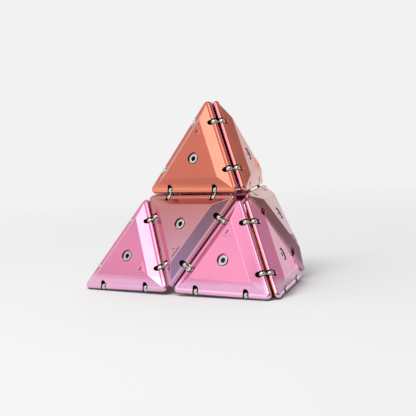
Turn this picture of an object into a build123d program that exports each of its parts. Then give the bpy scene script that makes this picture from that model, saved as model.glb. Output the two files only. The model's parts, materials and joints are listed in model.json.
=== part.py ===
from build123d import *
from math import radians, sqrt, tan
import os

# A folding pyramid puzzle: ten equal triangular plates, joined edge to edge by
# pairs of small steel links and folded up into a hollow, bottomless pyramid.
# Millimetres and degrees. A plate's own frame has its centroid at the origin,
# its mid-plane at z = 0 and its outside face towards +Z.

# one plate
EDGE = 52.0                # side of the lip triangle, to its virtual sharp corners
BEVEL_ANGLE = 35.264       # half the dihedral of a regular tetrahedron
BEVEL_INSET = 6.0          # lip line to the crease of the raised face
FACE_HEIGHT = BEVEL_INSET * tan(radians(BEVEL_ANGLE))
CREASE_RADIUS = 0.35
BEAD_RADIUS = 1.4          # round bead along the lip, one half on each shell
LIP_CORNER_RADIUS = 2.1
INRADIUS = EDGE / (2 * sqrt(3))

# hollow inside, clear of the slots
CAVITY_INSET = 6.6
ROOF = 1.3
RIB_WIDTH = 1.2
BOSS_RADIUS = 3.9

# tubular rivet that clamps the two shells together
RIVET_BORE = 1.1
RIVET_RADIUS = 1.7
RIVET_FLANGE_RADIUS = 2.25
RIVET_FLANGE = 0.5
RIVET_CLEARANCE = 0.05
RECESS_RADIUS = 3.0
RECESS_DEPTH = 0.8
SEAT_HEIGHT = FACE_HEIGHT - RECESS_DEPTH

# hinge hardware
PIN_RADIUS = 0.6
PIN_LENGTH = 33.0
PIN_CLEARANCE = 0.03
PIN_DISTANCE = INRADIUS - BEAD_RADIUS   # plate centroid to each hinge pin
SLOT_OFFSET = 12.75        # middle of an edge to each of its two slots
SLOT_WIDTH = 2.9
OUTER_SLOT_DEPTH = 3.6     # from the lip line
INNER_SLOT_DEPTH = 5.6     # deeper, so that a link can fold in under the plate
LINK_PITCH = 3.6           # between the two pins that a link joins
LINK_EYE_RADIUS = 1.6
LINK_WIDTH = 2.1
LINK_ROUND = 0.85
LINK_WAIST_WIDTH = 1.1
LINK_WAIST_HEIGHT = 1.2
LINK_WAIST_ROUND = 0.35
LINK_CLEARANCE = 0.04

# raised ornament: a small triangular ring near one corner of each face
ORNAMENT_DISTANCE = 0.235 * EDGE
ORNAMENT_SIDE = 5.4
ORNAMENT_LINE = 0.95
ORNAMENT_HEIGHT = 0.45
ORNAMENT_ROUND = 0.2

# outward normal of each edge, in the plate's frame; corner k faces edge k
EDGE_ANGLES = (-90, 30, 150)
CORNER_ANGLES = (90, 210, 330)

# the ten plates, each with its three corners anticlockwise as seen from outside
PLATES = {
    "middle_front": ("base_front", "mid_right", "mid_left"),
    "top_front": ("apex", "mid_left", "mid_right"),
    "left_front": ("base_front", "mid_left", "left_foot"),
    "right_front": ("mid_right", "base_front", "right_foot"),
    "top_right": ("mid_back", "apex", "mid_right"),
    "middle_right": ("base_right", "mid_back", "mid_right"),
    "right_side": ("base_right", "mid_right", "right_foot"),
    "top_back": ("apex", "mid_back", "mid_left"),
    "middle_back": ("base_back", "mid_left", "mid_back"),
    "left_side": ("base_back", "left_foot", "mid_left"),
}

# hinged edges: parent, child, the edge they share, and the fold at rest
# (0 is flat, positive folds the two inside faces towards each other)
HINGES = (
    ("middle_front", "top_front", ("mid_left", "mid_right"), -6.0),
    ("middle_front", "left_front", ("mid_left", "base_front"), 1.0),
    ("middle_front", "right_front", ("mid_right", "base_front"), 6.0),
    ("top_front", "top_right", ("apex", "mid_right"), 106.0),
    ("top_front", "top_back", ("apex", "mid_left"), 113.0),
    ("top_right", "middle_right", ("mid_right", "mid_back"), -7.0),
    ("top_back", "middle_back", ("mid_left", "mid_back"), -16.0),
    ("right_front", "right_side", ("mid_right", "right_foot"), 96.0),
    ("left_front", "left_side", ("mid_left", "left_foot"), 89.0),
)

# links left open on a bottom edge: plate, its edge, and how far they are folded in
OPEN_LINKS = (
    ("left_front", ("left_foot", "base_front"), 119.0),
    ("right_front", ("base_front", "right_foot"), 119.0),
)


def triangle(inset):
    """Triangle with its sides this far inside the lip line."""
    reach = 2 * (INRADIUS - inset)
    corners = [Vector(reach, 0).rotate(Axis.Z, angle) for angle in CORNER_ANGLES]
    return make_face(Polyline(*corners, close=True))


def rounded_triangle(inset):
    outline = triangle(inset)
    return fillet(outline.vertices(), LIP_CORNER_RADIUS - inset)


def outer_form():
    """Outside half of a plate, solid: raised face, bevels and half of the bead."""
    frustum = extrude(triangle(0), FACE_HEIGHT, taper=90 - BEVEL_ANGLE)
    creases = frustum.edges().filter_by(lambda edge: edge.center().Z > 0.1)
    frustum = fillet(creases, CREASE_RADIUS)
    trim = BEAD_RADIUS / 2
    body = frustum & extrude(rounded_triangle(trim), FACE_HEIGHT)
    bead = extrude(rounded_triangle(0), BEAD_RADIUS)
    rim = bead.edges().group_by(Axis.Z)[-1]
    return body + fillet(rim, 0.98 * BEAD_RADIUS)


def at_edge(angle, along=0):
    """Place on a hinge pin: X outwards, Y along the pin, Z towards the outside face."""
    return Rot(0, 0, angle) * Pos(PIN_DISTANCE, along, 0)


def slot_cutter(depth):
    """Slot with a round inner end, set on a hinge pin and open past the lip."""
    inner = depth - BEAD_RADIUS - SLOT_WIDTH / 2
    outer = 2 * BEAD_RADIUS
    length = outer + inner
    outline = Pos((outer - inner) / 2, 0) * Rectangle(length, SLOT_WIDTH)
    outline += Pos(-inner, 0) * Circle(SLOT_WIDTH / 2)
    return extrude(outline, 2 * FACE_HEIGHT, both=True)


def hollow():
    """Cavity with its boss and three ribs left standing."""
    height = FACE_HEIGHT - ROOF
    space = extrude(triangle(CAVITY_INSET), height)
    space -= Cylinder(BOSS_RADIUS, 2 * height)
    for angle in CORNER_ANGLES:
        rib = Box(EDGE / 2, RIB_WIDTH, 2 * height)
        space -= Rot(0, 0, angle) * Pos(EDGE / 4, 0, 0) * rib
    return space


def ornament():
    outline = RegularPolygon(ORNAMENT_SIDE / sqrt(3), 3, rotation=90)
    hole = RegularPolygon(ORNAMENT_SIDE / sqrt(3) - 2 * ORNAMENT_LINE, 3, rotation=90)
    ring = extrude(outline - hole, 2 * ORNAMENT_HEIGHT)
    ring = fillet(ring.edges().group_by(Axis.Z)[-1], ORNAMENT_ROUND)
    return Pos(0, ORNAMENT_DISTANCE, FACE_HEIGHT - ORNAMENT_HEIGHT) * ring


def shell(slot_depth):
    """One moulded half of a plate, with its face towards +Z."""
    form = outer_form() + ornament()
    form -= hollow()
    form -= Pos(0, 0, FACE_HEIGHT) * Cylinder(RECESS_RADIUS, 2 * RECESS_DEPTH)
    form -= Cylinder(RIVET_RADIUS + RIVET_CLEARANCE, 4 * FACE_HEIGHT)
    groove = Rot(90, 0, 0) * Cylinder(PIN_RADIUS + PIN_CLEARANCE, PIN_LENGTH + 0.4)
    slot = slot_cutter(slot_depth)
    for angle in EDGE_ANGLES:
        form -= at_edge(angle) * groove
        for side in (-1, 1):
            form -= at_edge(angle, side * SLOT_OFFSET) * slot
    return form


def rivet():
    barrel = Cylinder(RIVET_RADIUS, 2 * SEAT_HEIGHT)
    flange = Cylinder(RIVET_FLANGE_RADIUS, RIVET_FLANGE)
    flange = fillet(flange.edges().group_by(Axis.Z)[-1], 0.3)
    flange = Pos(0, 0, SEAT_HEIGHT + RIVET_FLANGE / 2) * flange
    body = barrel + flange + Rot(180, 0, 0) * flange
    body -= Cylinder(RIVET_BORE, 4 * FACE_HEIGHT)
    mouths = body.edges().filter_by(GeomType.CIRCLE)
    mouths = mouths.filter_by(lambda edge: edge.radius < RIVET_BORE + 0.01)
    return fillet(mouths, 0.2)


def pins():
    """The three hinge pins held between a plate's shells."""
    pin = Rot(90, 0, 0) * Cylinder(PIN_RADIUS, PIN_LENGTH)
    return [at_edge(angle) * pin for angle in EDGE_ANGLES]


def link():
    """Figure-eight link: one eye on the Y axis, the other a pitch along X."""
    blank = Rot(90, 0, 0) * Cylinder(LINK_EYE_RADIUS, LINK_WIDTH)
    eye = fillet(blank.edges().filter_by(GeomType.CIRCLE), LINK_ROUND)
    waist = Box(LINK_PITCH - LINK_EYE_RADIUS, LINK_WAIST_WIDTH, LINK_WAIST_HEIGHT)
    waist = fillet(waist.edges().filter_by(Axis.X), LINK_WAIST_ROUND)
    body = eye + Pos(LINK_PITCH, 0, 0) * eye + Pos(LINK_PITCH / 2, 0, 0) * waist
    bore = Rot(90, 0, 0) * Cylinder(PIN_RADIUS + LINK_CLEARANCE, 2 * LINK_WIDTH)
    return body - bore - Pos(LINK_PITCH, 0, 0) * bore


def edge_angle(plate, shared):
    """Angle of the edge between two named corners of a plate."""
    for corner, angle in zip(PLATES[plate], EDGE_ANGLES):
        if corner not in shared:
            return angle


def corner(places, plate, name):
    """Where a named corner of a plate stands, on the pin lines."""
    angle = CORNER_ANGLES[PLATES[plate].index(name)]
    return (places[plate] * Rot(0, 0, angle) * Pos(2 * PIN_DISTANCE, 0, 0)).position


def folded():
    """Places of the plates and of the hinges, chained outwards from the first plate."""
    places = {"middle_front": Location()}
    hinges = {}
    for parent, child, shared, fold in HINGES:
        on_parent = places[parent] * at_edge(edge_angle(parent, shared))
        on_parent *= Rot(0, fold / 2, 0)
        on_child = on_parent * Pos(LINK_PITCH, 0, 0) * Rot(0, fold / 2, 0)
        back = Pos(PIN_DISTANCE, 0, 0) * Rot(0, 0, 180 - edge_angle(child, shared))
        places[child] = on_child * back
        hinges[f"{parent}_to_{child}"] = (on_parent, on_child)
    for plate, shared, fold in OPEN_LINKS:
        pivot = places[plate] * at_edge(edge_angle(plate, shared)) * Rot(0, fold, 0)
        hinges[f"{plate}_open"] = (pivot, pivot)
    return places, hinges


def standing(places):
    """Move that stands the folded plates on three of their feet, left to right along X."""
    left = corner(places, "left_front", "left_foot")
    right = corner(places, "right_front", "right_foot")
    back = corner(places, "right_side", "base_right")
    across = right - left
    return Plane(left, across, across.cross(back - left)).location.inverse()


def assemble():
    """Every node's solids in the part's frame, and the hinge places."""
    places, hinges = folded()
    stand = standing(places)
    outer = shell(OUTER_SLOT_DEPTH)
    inner = Rot(0, 180, 0) * shell(INNER_SLOT_DEPTH)
    fastener = rivet()
    plate_pins = pins()
    piece = link()
    nodes = {}
    for plate, place in places.items():
        nodes[f"{plate}_outer_shell"] = [stand * place * outer]
        nodes[f"{plate}_inner_shell"] = [stand * place * inner]
        nodes[f"{plate}_rivet"] = [stand * place * fastener]
        nodes[f"{plate}_pins"] = [stand * place * pin for pin in plate_pins]
    for name, (pivot, _) in hinges.items():
        sides = (-SLOT_OFFSET, SLOT_OFFSET)
        nodes[f"{name}_links"] = [stand * pivot * Pos(0, y, 0) * piece for y in sides]
    box = Compound([solid for solids in nodes.values() for solid in solids]).bounding_box()
    middle = box.center()
    move = Pos(-middle.X, -middle.Y, -box.min.Z)
    nodes = {name: [move * solid for solid in solids] for name, solids in nodes.items()}
    pivots = {name: [move * stand * place for place in pair] for name, pair in hinges.items()}
    return nodes, pivots


def main():
    os.makedirs("parts", exist_ok=True)
    nodes, _ = assemble()
    for name, solids in nodes.items():
        export_step(solids[0] if len(solids) == 1 else Compound(solids), f"parts/{name}.step")


main()
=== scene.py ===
import bpy
import json
from math import cos, radians, sin
from mathutils import Matrix, Vector

# The looks of a folding pyramid puzzle: metallised orange, pink and rose shells,
# polished steel links and rivets, on a pale seamless floor. Metres and degrees.

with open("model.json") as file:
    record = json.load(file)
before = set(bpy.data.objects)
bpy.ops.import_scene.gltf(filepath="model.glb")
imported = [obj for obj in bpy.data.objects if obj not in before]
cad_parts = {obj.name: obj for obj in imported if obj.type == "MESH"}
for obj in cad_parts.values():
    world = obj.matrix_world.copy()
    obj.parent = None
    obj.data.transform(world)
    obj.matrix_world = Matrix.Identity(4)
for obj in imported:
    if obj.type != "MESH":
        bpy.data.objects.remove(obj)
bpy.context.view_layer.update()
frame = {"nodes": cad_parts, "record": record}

MM = 0.001

# camera, placed by angles round the object
CAMERA_AZIMUTH = 36.9
CAMERA_ELEVATION = 6.3
CAMERA_ROLL = -3.8
CAMERA_DISTANCE = 0.591
CAMERA_TARGET = Vector((-0.0015, 0.0, 0.0342))
CAMERA_LENS = 112.5
CAMERA_CLIP = 0.01

# linear colours of the finishes; a lighter colour takes over towards the floor, a painted
# reflection of the bright floor in the lower bevels; the last of each three is for light
# flecks and a painted highlight along the creases
ORANGE = (0.60, 0.130, 0.080)
ORANGE_FLOOR_SHEEN = (0.96, 0.285, 0.160)
ORANGE_FLECK_AND_GLINT = (0.95, 0.62, 0.50)
PINK = (0.82, 0.245, 0.430)
PINK_FLOOR_SHEEN = (0.95, 0.500, 0.740)
PINK_FLECK_AND_GLINT = (0.97, 0.70, 0.86)
ROSE = (0.58, 0.190, 0.165)
ROSE_FLOOR_SHEEN = (0.62, 0.330, 0.500)
ROSE_FLECK_AND_GLINT = (0.95, 0.72, 0.76)
STEEL = (0.66, 0.64, 0.57)
RIVET_STEEL = (0.60, 0.60, 0.58)
DARK_STEEL = (0.42, 0.41, 0.39)

# heights in mm above the floor over which the painted floor reflection gives way to the main
# colour
ORANGE_CHANGE = (43.5, 47.0)
PINK_CHANGE = (5.5, 8.5)
ROSE_CHANGE = (6.0, 40.0)

# near-black painted shade for narrow gaps and the inside of the pyramid
GAP_SHADE_COLOUR = (0.012, 0.006, 0.008, 1.0)
# near-black painted shade for the hollows of the steel parts
HOLLOW_SHADE_COLOUR = (0.020, 0.018, 0.014, 1.0)

SHELL_ROUGHNESS = 0.19
COAT = {"Coat Weight": 0.35, "Coat Roughness": 0.12, "Coat IOR": 1.5}
RIVET_ROUGHNESS = 0.20
LINK_ROUGHNESS = 0.13

# studio
WHITE = (1.0, 1.0, 1.0, 1.0)
WHITE_GROUND = 0.887            # radiance of the backdrop and of the far floor
FLOOR_RADIUS = 6.0
FLOOR_FADE = (0.12, 0.42)       # distances over which the floor fades to plain white
FLOOR_TONES = ((0.80, 0.80, 0.80, 1.0), (0.82, 0.82, 0.82, 1.0))

# soft glows in the surroundings: azimuth, elevation, strength, inner and outer angle
GLOWS = (
    (-24.0, 68.0, 2.80, 5.0, 23.5),
    (-80.0, 26.0, 0.50, 30.0, 75.0),
    (-66.0, 34.0, 0.44, 5.0, 30.0),
    (101.0, 46.0, 0.36, 5.0, 30.0),
    (180.0, 5.0, 0.62, 20.0, 75.0),
)
DIM = 0.24                      # light from everywhere else

# a cool patch beside the camera, seen in the bevel that faces it
COOL_PLACE = (-18.0, 8.0)
COOL_ANGLES = (8.0, 30.0)
COOL = (1.0, 1.27, 1.65, 1.0)

KEY_LIGHT = {"azimuth": -48.0, "elevation": 52.0, "distance": 0.9, "size": 0.35, "power": 3.0}


def direction(azimuth, elevation):
    """Unit vector at these angles, azimuth 0 pointing from the object to the camera."""
    turn = radians(CAMERA_AZIMUTH + azimuth)
    rise = radians(elevation)
    return Vector((sin(turn) * cos(rise), -cos(turn) * cos(rise), sin(rise)))


# ---- node helpers ----

class Nodes:
    """A node tree with short calls for adding and joining nodes."""

    def __init__(self, tree):
        self.tree = tree
        tree.nodes.clear()

    def add(self, kind, inputs=None, **settings):
        node = self.tree.nodes.new(kind)
        for name, value in settings.items():
            setattr(node, name, value)
        for name, value in (inputs or {}).items():
            self.put(node.inputs[name], value)
        return node

    def put(self, socket, value):
        if isinstance(value, bpy.types.NodeSocket):
            self.tree.links.new(value, socket)
        else:
            socket.default_value = value

    def math(self, operation, first, second, clamp=False):
        sockets = {0: first, 1: second}
        node = self.add("ShaderNodeMath", sockets, operation=operation, use_clamp=clamp)
        return node.outputs[0]

    def add_up(self, *values):
        total = values[0]
        for value in values[1:]:
            total = self.math("ADD", total, value)
        return total

    def span(self, value, low, high, to_low=0.0, to_high=1.0):
        """value, moved from low..high to to_low..to_high and kept within them."""
        ends = {"Value": value, "From Min": low, "From Max": high}
        ends |= {"To Min": to_low, "To Max": to_high}
        return self.add("ShaderNodeMapRange", ends).outputs[0]

    def dot(self, first, second):
        sockets = {0: first, 1: second}
        node = self.add("ShaderNodeVectorMath", sockets, operation="DOT_PRODUCT")
        return node.outputs["Value"]

    def glow(self, way, toward, outer, inner, strength):
        """strength within inner degrees of one direction, falling to 0 at outer degrees."""
        ends = {"Value": self.dot(way, toward), "To Min": 0.0, "To Max": strength}
        ends |= {"From Min": cos(radians(outer)), "From Max": cos(radians(inner))}
        return self.add("ShaderNodeMapRange", ends, interpolation_type="SMOOTHSTEP").outputs[0]

    def mix(self, factor, first, second):
        node = self.add("ShaderNodeMix", data_type="RGBA")
        self.put(node.inputs["Factor"], factor)
        self.put(node.inputs[6], first)
        self.put(node.inputs[7], second)
        return node.outputs[2]

    def noise(self, place, scale, detail=2.0, roughness=0.5):
        sockets = {"Vector": place, "Scale": scale, "Detail": detail}
        sockets["Roughness"] = roughness
        return self.add("ShaderNodeTexNoise", sockets).outputs[0]

    def stretched(self, place, turn, scale):
        """place, turned and then scaled unevenly, for streaks."""
        turned = self.add("ShaderNodeMapping", {"Vector": place, "Rotation": turn})
        sockets = {"Vector": turned.outputs[0], "Scale": scale}
        return self.add("ShaderNodeMapping", sockets).outputs[0]

    def bump(self, height, strength, distance):
        sockets = {"Height": height, "Strength": strength, "Distance": distance}
        return self.add("ShaderNodeBump", sockets).outputs[0]

    def openness(self, distance):
        """0 in gaps and corners much narrower than distance, 1 in the open."""
        sockets = {"Distance": distance}
        return self.add("ShaderNodeAmbientOcclusion", sockets, samples=8).outputs["AO"]


def new_material(name):
    """A metal on a Principled shader, with its nodes, shader and object coordinates."""
    material = bpy.data.materials.new(name)
    material.use_nodes = True
    nodes = Nodes(material.node_tree)
    surface = nodes.add("ShaderNodeBsdfPrincipled", {"Metallic": 1.0})
    output = nodes.add("ShaderNodeOutputMaterial")
    nodes.put(output.inputs["Surface"], surface.outputs[0])
    place = nodes.add("ShaderNodeTexCoord").outputs["Object"]
    return material, nodes, surface, place


def rgba(colour, gain=1.0):
    return tuple(min(channel * gain, 1.0) for channel in colour) + (1.0,)


def edge_mask(nodes, radius, low, high):
    """1 along sharp and rounded-over edges narrower than radius, 0 on flat faces."""
    soft = nodes.add("ShaderNodeBevel", {"Radius": radius}, samples=4).outputs[0]
    normal = nodes.add("ShaderNodeNewGeometry").outputs["Normal"]
    return nodes.span(nodes.dot(soft, normal), high, low)


def scratches(nodes, place, turn, low):
    """Sparse hairlines in one direction."""
    streaks = nodes.stretched(place, turn, (90.0, 90.0, 7000.0))
    lines = nodes.span(nodes.noise(streaks, scale=1.0, detail=1.0), low, low + 0.05)
    patches = nodes.span(nodes.noise(place, scale=90.0, detail=1.0), 0.52, 0.62)
    return nodes.math("MULTIPLY", lines, patches)


# ---- materials ----

def metallised(name, colour, floor_sheen_colour, change, fleck_and_glint):
    """Vacuum-metallised, tinted and lacquered plastic: satin mirror under clear coat."""
    material, nodes, surface, place = new_material(name)

    clouds = nodes.span(nodes.noise(place, scale=38.0, detail=3.0), 0.35, 0.65)
    # painted reflection: lower down the colour turns lighter, standing in for the bright floor
    # seen in the lower bevels
    low = nodes.mix(clouds, rgba(floor_sheen_colour, 0.93), rgba(floor_sheen_colour, 1.04))
    high = nodes.mix(clouds, rgba(colour, 0.93), rgba(colour, 1.04))
    level = nodes.add("ShaderNodeSeparateXYZ", {"Vector": place}).outputs["Z"]
    tint = nodes.mix(nodes.span(level, change[0] * MM, change[1] * MM), low, high)
    flakes = nodes.span(nodes.noise(place, scale=5200.0, detail=1.0), 0.35, 0.65, 0.0, 0.09)
    tint = nodes.mix(flakes, tint, rgba(fleck_and_glint))

    # painted highlight: the creases turn patchily lighter, standing in for glints on their
    # rounded edges; the same mask makes them rougher, as rubbed edges are
    edges = edge_mask(nodes, radius=0.45 * MM, low=0.945, high=0.992)
    broken = nodes.noise(place, scale=420.0, detail=3.0, roughness=0.65)
    edge_wear_and_glint = nodes.math("MULTIPLY", edges, nodes.span(broken, 0.42, 0.66, 0.34, 0.56))
    tint = nodes.mix(edge_wear_and_glint, tint, rgba(fleck_and_glint))

    # painted shade: the colour goes near-black in narrow gaps between plates and deep inside
    # the pyramid, where shade falls
    gaps = nodes.span(nodes.openness(3.0 * MM), 0.20, 0.56)
    inside_shade = nodes.span(nodes.openness(45.0 * MM), 0.03, 0.26)
    tint = nodes.mix(nodes.math("MULTIPLY", gaps, inside_shade), GAP_SHADE_COLOUR, tint)
    nodes.put(surface.inputs["Base Color"], tint)

    smudges = nodes.noise(place, scale=75.0, detail=4.0, roughness=0.6)
    smudges = nodes.span(smudges, 0.42, 0.70, 0.0, 0.07)
    grain = nodes.span(nodes.noise(place, scale=2600.0), 0.3, 0.7, -0.015, 0.02)
    lines = nodes.math(
        "MAXIMUM",
        scratches(nodes, place, turn=(0.4, 0.9, 0.2), low=0.66),
        scratches(nodes, place, turn=(1.9, 0.3, 1.1), low=0.67),
    )
    scuffs = nodes.math("MULTIPLY", lines, 0.10)
    rubbed = nodes.math("MULTIPLY", edge_wear_and_glint, 0.20)
    rough = nodes.add_up(smudges, grain, SHELL_ROUGHNESS, scuffs)
    rough = nodes.math("ADD", rough, rubbed, clamp=True)
    nodes.put(surface.inputs["Roughness"], rough)

    peel = nodes.noise(place, scale=520.0)
    fine = nodes.noise(place, scale=3300.0)
    height = nodes.math("ADD", peel, nodes.math("MULTIPLY", fine, 0.10))
    height = nodes.math("SUBTRACT", height, nodes.math("MULTIPLY", lines, 0.12))
    nodes.put(surface.inputs["Normal"], nodes.bump(height, 0.10, 0.02 * MM))

    for socket, value in COAT.items():
        surface.inputs[socket].default_value = value
    return material


def polished_steel(name, colour, base_roughness):
    """Tumbled and polished steel, faintly worn, with painted shade darkening its hollows."""
    material, nodes, surface, place = new_material(name)
    tone = nodes.span(nodes.noise(place, scale=900.0, detail=3.0), 0.35, 0.65)
    metal = nodes.mix(tone, rgba(colour, 0.92), rgba(colour, 1.05))
    # painted shade: the colour goes near-black in hollows and tight corners, where shade
    # falls; there it is also a little rougher
    hollow_shade = nodes.span(nodes.openness(1.5 * MM), 0.38, 0.86, 0.97, 0.0)
    metal = nodes.mix(hollow_shade, metal, HOLLOW_SHADE_COLOUR)
    nodes.put(surface.inputs["Base Color"], metal)
    worn = nodes.noise(place, scale=2400.0, detail=3.0, roughness=0.6)
    worn = nodes.span(worn, 0.3, 0.7, -0.03, 0.05)
    dulled = nodes.math("MULTIPLY", hollow_shade, 0.25)
    nodes.put(surface.inputs["Roughness"], nodes.add_up(worn, base_roughness, dulled))
    dents = nodes.noise(place, scale=1500.0)
    nodes.put(surface.inputs["Normal"], nodes.bump(dents, 0.12, 0.03 * MM))
    return material


def drawn_steel(name, colour):
    """Plain steel wire, dull, with streaks."""
    material, nodes, surface, place = new_material(name)
    along = nodes.stretched(place, turn=(0.0, 0.0, 0.0), scale=(60.0, 2500.0, 2500.0))
    streaks = nodes.noise(along, scale=1.0)
    metal = nodes.mix(nodes.span(streaks, 0.3, 0.7), rgba(colour, 0.8), rgba(colour, 1.15))
    nodes.put(surface.inputs["Base Color"], metal)
    nodes.put(surface.inputs["Roughness"], nodes.span(streaks, 0.3, 0.7, 0.26, 0.40))
    nodes.put(surface.inputs["Normal"], nodes.bump(streaks, 0.15, 0.02 * MM))
    return material


def dress():
    """Give every node the finish of its material slot."""
    finishes = {
        "orange_shell": metallised(
            "metallised_orange", ORANGE, ORANGE_FLOOR_SHEEN, ORANGE_CHANGE, ORANGE_FLECK_AND_GLINT
        ),
        "pink_shell": metallised("metallised_pink", PINK, PINK_FLOOR_SHEEN, PINK_CHANGE, PINK_FLECK_AND_GLINT),
        "rose_shell": metallised("metallised_rose", ROSE, ROSE_FLOOR_SHEEN, ROSE_CHANGE, ROSE_FLECK_AND_GLINT),
        "steel_rivet": polished_steel("polished_rivet_steel", RIVET_STEEL, RIVET_ROUGHNESS),
        "steel_link": polished_steel("polished_link_steel", STEEL, LINK_ROUGHNESS),
        "steel_pin": drawn_steel("drawn_pin_steel", DARK_STEEL),
    }
    for subpart in frame["record"]["subparts"]:
        node = frame["nodes"][subpart["node"]]
        finish = finishes[subpart["material_slot"]]
        if not node.material_slots:
            node.data.materials.append(finish)
        for slot in node.material_slots:
            slot.material = finish


# ---- studio ----

def ground():
    """Seamless pale ground: it takes shadows near the object and fades to plain white."""
    bpy.ops.mesh.primitive_circle_add(vertices=96, radius=FLOOR_RADIUS, fill_type="NGON")
    floor = bpy.context.object
    floor.name = "floor"
    material = bpy.data.materials.new("pale_ground")
    material.use_nodes = True
    nodes = Nodes(material.node_tree)
    place = nodes.add("ShaderNodeTexCoord").outputs["Object"]
    away = nodes.add("ShaderNodeVectorMath", {0: place}, operation="LENGTH")
    fade = nodes.span(away.outputs["Value"], *FLOOR_FADE)
    paper = nodes.noise(place, scale=700.0, detail=3.0)
    tone = nodes.mix(nodes.span(paper, 0.3, 0.7), *FLOOR_TONES)
    matte = nodes.add("ShaderNodeBsdfDiffuse", {"Color": tone})
    plain = nodes.add("ShaderNodeEmission", {"Color": WHITE, "Strength": WHITE_GROUND})
    sockets = {0: fade, 1: matte.outputs[0], 2: plain.outputs[0]}
    blend = nodes.add("ShaderNodeMixShader", sockets)
    output = nodes.add("ShaderNodeOutputMaterial")
    nodes.put(output.inputs["Surface"], blend.outputs[0])
    floor.data.materials.append(material)


def surroundings():
    """Soft light from all round, brightest above. The camera itself sees plain white."""
    world = bpy.data.worlds.new("studio")
    bpy.context.scene.world = world
    world.use_nodes = True
    nodes = Nodes(world.node_tree)
    way = nodes.add("ShaderNodeTexCoord").outputs["Generated"]
    light = DIM
    for azimuth, elevation, strength, inner, outer in GLOWS:
        glow = nodes.glow(way, direction(azimuth, elevation), outer, inner, strength)
        light = nodes.math("ADD", glow, light)
    inner, outer = COOL_ANGLES
    cool = nodes.glow(way, direction(*COOL_PLACE), outer, inner, 1.0)
    hue = nodes.mix(cool, WHITE, COOL)
    seen = nodes.add("ShaderNodeLightPath").outputs["Is Camera Ray"]
    strength = nodes.span(seen, 0.0, 1.0, light, WHITE_GROUND)
    backdrop = nodes.add("ShaderNodeBackground", {"Color": hue, "Strength": strength})
    output = nodes.add("ShaderNodeOutputWorld")
    nodes.put(output.inputs["Surface"], backdrop.outputs[0])


def soft_box(name, azimuth, elevation, distance, size, power):
    """A square lamp that lights and casts shadows, but isn't reflected in the shells."""
    light = bpy.data.lights.new(name, "AREA")
    light.size = size
    light.energy = power
    lamp = bpy.data.objects.new(name, light)
    bpy.context.collection.objects.link(lamp)
    toward = direction(azimuth, elevation)
    lamp.location = CAMERA_TARGET + toward * distance
    lamp.rotation_euler = toward.to_track_quat("Z", "Y").to_euler()
    lamp.visible_glossy = False


def camera():
    data = bpy.data.cameras.new("camera")
    data.lens = CAMERA_LENS
    data.clip_start = CAMERA_CLIP
    eye = bpy.data.objects.new("camera", data)
    bpy.context.collection.objects.link(eye)
    back = direction(0.0, CAMERA_ELEVATION)
    level = Vector((cos(radians(CAMERA_AZIMUTH)), sin(radians(CAMERA_AZIMUTH)), 0.0))
    upright = back.cross(level)
    roll = radians(CAMERA_ROLL)
    right = level * cos(roll) + upright * sin(roll)
    up = back.cross(right)
    turn = Matrix((right, up, back)).transposed().to_4x4()
    eye.matrix_world = Matrix.Translation(CAMERA_TARGET + back * CAMERA_DISTANCE) @ turn
    bpy.context.scene.camera = eye


dress()
ground()
surroundings()
soft_box("key_light", **KEY_LIGHT)
camera()
bpy.context.scene.view_settings.view_transform = "Standard"
